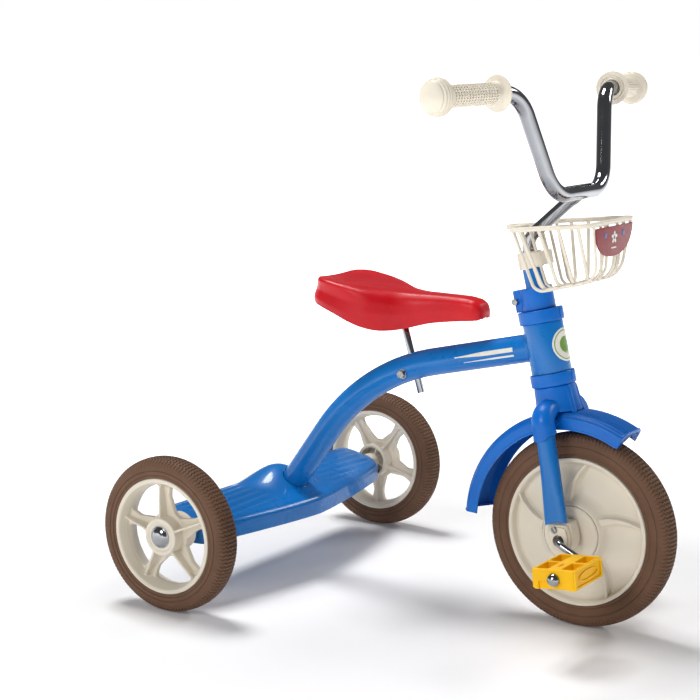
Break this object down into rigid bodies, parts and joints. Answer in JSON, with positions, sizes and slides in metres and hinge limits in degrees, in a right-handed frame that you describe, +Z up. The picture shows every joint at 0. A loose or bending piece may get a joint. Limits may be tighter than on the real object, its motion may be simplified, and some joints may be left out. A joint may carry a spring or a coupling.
{
  "type": "children's tricycle",
  "caption": "Pedal tricycle for a small child: arched tube frame, rear step deck, steered front wheel with cranks, mudguard, wire-style basket, tall handlebar and moulded saddle.",
  "frame": {"origin": "on the floor, midway along the tricycle's length, on its centre plane", "axes": "+X forward, +Y to the rider's left, +Z up; the three tyres stand on z = 0 with the front wheel straight ahead"},
  "size_m": [0.6877, 0.551, 0.6895],
  "materials": {
    "frame_paint": "glossy blue powder coat",
    "blue_plastic": "smooth moulded blue plastic",
    "cream_plastic": "smooth moulded off-white plastic",
    "tyre": "matt brown moulded tread",
    "chrome": "bright chrome plate",
    "zinc_steel": "zinc-plated steel",
    "red_plastic": "satin fine-grained red moulding",
    "yellow_plastic": "smooth moulded yellow plastic",
    "label_red": "printed dark-red plate"
  },
  "bodies": {
    "frame": {"backbone_tube": "frame_paint", "head_tube": "frame_paint", "headset_collar_lower": "blue_plastic", "headset_collar_upper": "blue_plastic", "seat_bolt": "zinc_steel", "seat_bolt_nut": "zinc_steel", "rear_deck": "frame_paint", "axle_sleeve": "zinc_steel", "rear_axle": "zinc_steel", "axle_spacer_right": "cream_plastic", "axle_spacer_left": "cream_plastic"},
    "seat": {"saddle": "red_plastic", "seat_post": "chrome", "seat_plate": "zinc_steel"},
    "steering": {"steerer_tube": "frame_paint", "fork_crown": "blue_plastic", "fork_leg_right": "frame_paint", "fork_leg_left": "frame_paint", "bearing_block_right": "cream_plastic", "bearing_block_left": "cream_plastic", "crank_bush_right": "zinc_steel", "crank_bush_left": "zinc_steel", "block_screw_right": "zinc_steel", "block_screw_left": "zinc_steel", "mudguard": "blue_plastic", "mudguard_screw": "zinc_steel", "steering_clamp": "blue_plastic", "clamp_bolt": "zinc_steel", "clamp_nut": "zinc_steel", "basket": "cream_plastic", "basket_label": "label_red"},
    "bar": {"handlebar": "chrome", "handlebar_stem": "chrome", "grip_right": "cream_plastic", "grip_left": "cream_plastic"},
    "front_wheel": {"front_tyre": "tyre", "front_wheel_half_right": "cream_plastic", "front_wheel_half_left": "cream_plastic", "front_hub_cover_right": "cream_plastic", "front_hub_cover_left": "cream_plastic", "crank_axle": "chrome"},
    "right_pedal": {"pedal_right": "yellow_plastic", "pedal_cap_right": "chrome"},
    "left_pedal": {"pedal_left": "yellow_plastic", "pedal_cap_left": "chrome"},
    "right_rear_wheel": {"rear_tyre_right": "tyre", "rear_wheel_right": "cream_plastic", "rear_bush_right": "zinc_steel", "rear_hub_cap_right": "chrome"},
    "left_rear_wheel": {"rear_tyre_left": "tyre", "rear_wheel_left": "cream_plastic", "rear_bush_left": "zinc_steel", "rear_hub_cap_left": "chrome"}
  },
  "joints": [
    {"name": "steering", "type": "hinge", "parent": "frame", "child": "steering", "pos_m": [0.2193, 0, 0.12452], "axis": [-0.2402, 0, 0.9707], "range_deg": [-45, 45]},
    {"name": "handlebar_height", "type": "slide", "parent": "steering", "child": "bar", "axis": [-0.2402, 0, 0.9707], "range_m": [-0.01, 0.03]},
    {"name": "front_wheel_spin", "type": "hinge", "parent": "steering", "child": "front_wheel", "pos_m": [0.2193, 0, 0.12452], "axis": [0, 1, 0], "continuous": true},
    {"name": "pedal_right_spin", "type": "hinge", "parent": "front_wheel", "child": "right_pedal", "pos_m": [0.25918, -0.12, 0.10593], "axis": [0, 1, 0], "continuous": true},
    {"name": "pedal_left_spin", "type": "hinge", "parent": "front_wheel", "child": "left_pedal", "pos_m": [0.17942, 0.12, 0.14312], "axis": [0, 1, 0], "continuous": true},
    {"name": "rear_wheel_right_spin", "type": "hinge", "parent": "frame", "child": "right_rear_wheel", "pos_m": [-0.2427, -0.25, 0.10121], "axis": [0, 1, 0], "continuous": true},
    {"name": "rear_wheel_left_spin", "type": "hinge", "parent": "frame", "child": "left_rear_wheel", "pos_m": [-0.2427, 0.25, 0.10121], "axis": [0, 1, 0], "continuous": true},
    {"name": "seat_height", "type": "slide", "parent": "frame", "child": "seat", "axis": [-0.2991, 0, 0.9542], "range_m": [-0.02, 0.01]}
  ]
}
